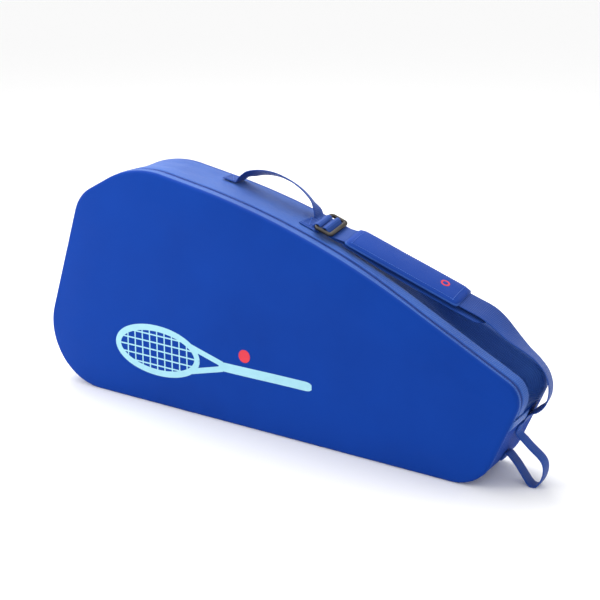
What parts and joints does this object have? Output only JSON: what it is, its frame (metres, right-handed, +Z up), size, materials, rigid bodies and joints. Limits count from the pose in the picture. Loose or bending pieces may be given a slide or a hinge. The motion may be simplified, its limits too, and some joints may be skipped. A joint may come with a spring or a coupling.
{
  "type": "racket tournament bag",
  "caption": "Slim padded racket bag with a zipped fold-down front panel, carry handle, padded shoulder strap with slide buckle, and a hang loop.",
  "frame": {"origin": "centre of the flat base, on the surface the bag stands on", "axes": "+X towards the handle end, -Y towards the front panel, +Z up"},
  "size_m": [0.7597, 0.1085, 0.3395],
  "materials": {
    "shell_fabric": "plain-weave polyester, matt sheen",
    "gusset_fabric": "ribbed polyester, matt sheen",
    "lining": "thin plain-weave lining, matt",
    "padding": "closed-cell foam, matt",
    "webbing": "ribbed polyester webbing, slight sheen",
    "zip_tape": "woven zip tape, matt",
    "zip_coil": "nylon coil, satin",
    "base_board": "flat stiffener board, matt",
    "metal": "bronze-grey brushed metal, satin",
    "pull": "moulded pull, matt",
    "print_aqua": "flat printed film, matt",
    "print_red": "flat printed film, matt"
  },
  "bodies": {
    "case": {"back_panel": "shell_fabric", "back_foam": "padding", "back_lining": "lining", "back_binding": "lining", "front_panel_lower": "shell_fabric", "front_foam_lower": "padding", "front_lining_lower": "lining", "front_binding_lower": "lining", "main_gusset": "gusset_fabric", "gusset_lining": "lining", "base_gusset": "shell_fabric", "base_lining": "lining", "base_board": "base_board", "zip_tape_back": "zip_tape", "zip_coil_back": "zip_coil", "zip_stops": "metal", "handle_ends": "webbing", "strap_anchor_end": "webbing", "strap_anchor_mid": "webbing", "loop_ends": "webbing"},
    "cover": {"front_panel": "shell_fabric", "front_foam": "padding", "front_lining": "lining", "front_binding": "lining", "front_strip": "gusset_fabric", "zip_tape_front": "zip_tape", "zip_coil_front": "zip_coil", "panel_print": "print_aqua", "panel_print_ball": "print_red"},
    "zip_slider_upper": {"zip_slider_upper": "metal"},
    "zip_pull_upper": {"zip_pull_upper": "pull"},
    "zip_slider_lower": {"zip_slider_lower": "metal"},
    "zip_pull_lower": {"zip_pull_lower": "pull"},
    "grab_handle": {"grab_handle": "webbing"},
    "strap": {"strap_webbing": "webbing", "stowed_webbing": "webbing"},
    "strap_pad": {"strap_pad_cover": "shell_fabric", "strap_pad_foam": "padding", "strap_pad_underside": "lining", "pad_mark": "print_red"},
    "strap_adjuster": {"buckle_frame": "metal", "buckle_bar": "metal", "buckle_webbing": "webbing"},
    "hang_loop": {"hang_loop": "webbing"}
  },
  "joints": [
    {"name": "cover_fold", "type": "hinge", "parent": "case", "child": "cover", "pos_m": [-0.33601, -0.0546, 0.02], "axis": [0.9941, 0, 0.1082], "range_deg": [0, 60]},
    {"name": "upper_slider_run", "type": "hinge", "parent": "case", "child": "zip_slider_upper", "pos_m": [-0.25391, -0.03, 0.24593], "axis": [0, 1, 0], "range_deg": [0, 34]},
    {"name": "upper_pull_swing", "type": "hinge", "parent": "zip_slider_upper", "child": "zip_pull_upper", "pos_m": [-0.31399, -0.03, 0.27085], "axis": [0, 1, 0], "range_deg": [0, 150]},
    {"name": "lower_slider_run", "type": "slide", "parent": "case", "child": "zip_slider_lower", "axis": [-0.3177, 0, -0.9482], "range_m": [0, 0.09]},
    {"name": "lower_pull_swing", "type": "hinge", "parent": "zip_slider_lower", "child": "zip_pull_lower", "pos_m": [-0.32902, -0.03, 0.227], "axis": [0, 1, 0], "range_deg": [0, 150]},
    {"name": "handle_swing", "type": "hinge", "parent": "case", "child": "grab_handle", "pos_m": [0.04709, 0.028, 0.29017], "axis": [-0.9681, 0, 0.2507], "range_deg": [-35, 35]},
    {"name": "strap_swing", "type": "hinge", "parent": "case", "child": "strap", "pos_m": [0.06327, 0.002, 0.28535], "axis": [0.836, 0.0501, -0.5464], "range_deg": [-8, 8]},
    {"name": "pad_slide", "type": "slide", "parent": "strap", "child": "strap_pad", "axis": [0.9238, 0.0962, -0.3705], "range_m": [0, 0.012]},
    {"name": "buckle_slide", "type": "slide", "parent": "strap", "child": "strap_adjuster", "axis": [0.9238, 0.0962, -0.3705], "range_m": [0, 0.01]},
    {"name": "loop_swing", "type": "hinge", "parent": "case", "child": "hang_loop", "pos_m": [0.33938, 0, 0.03839], "axis": [0.3695, 0, 0.9292], "range_deg": [-40, 40]}
  ]
}
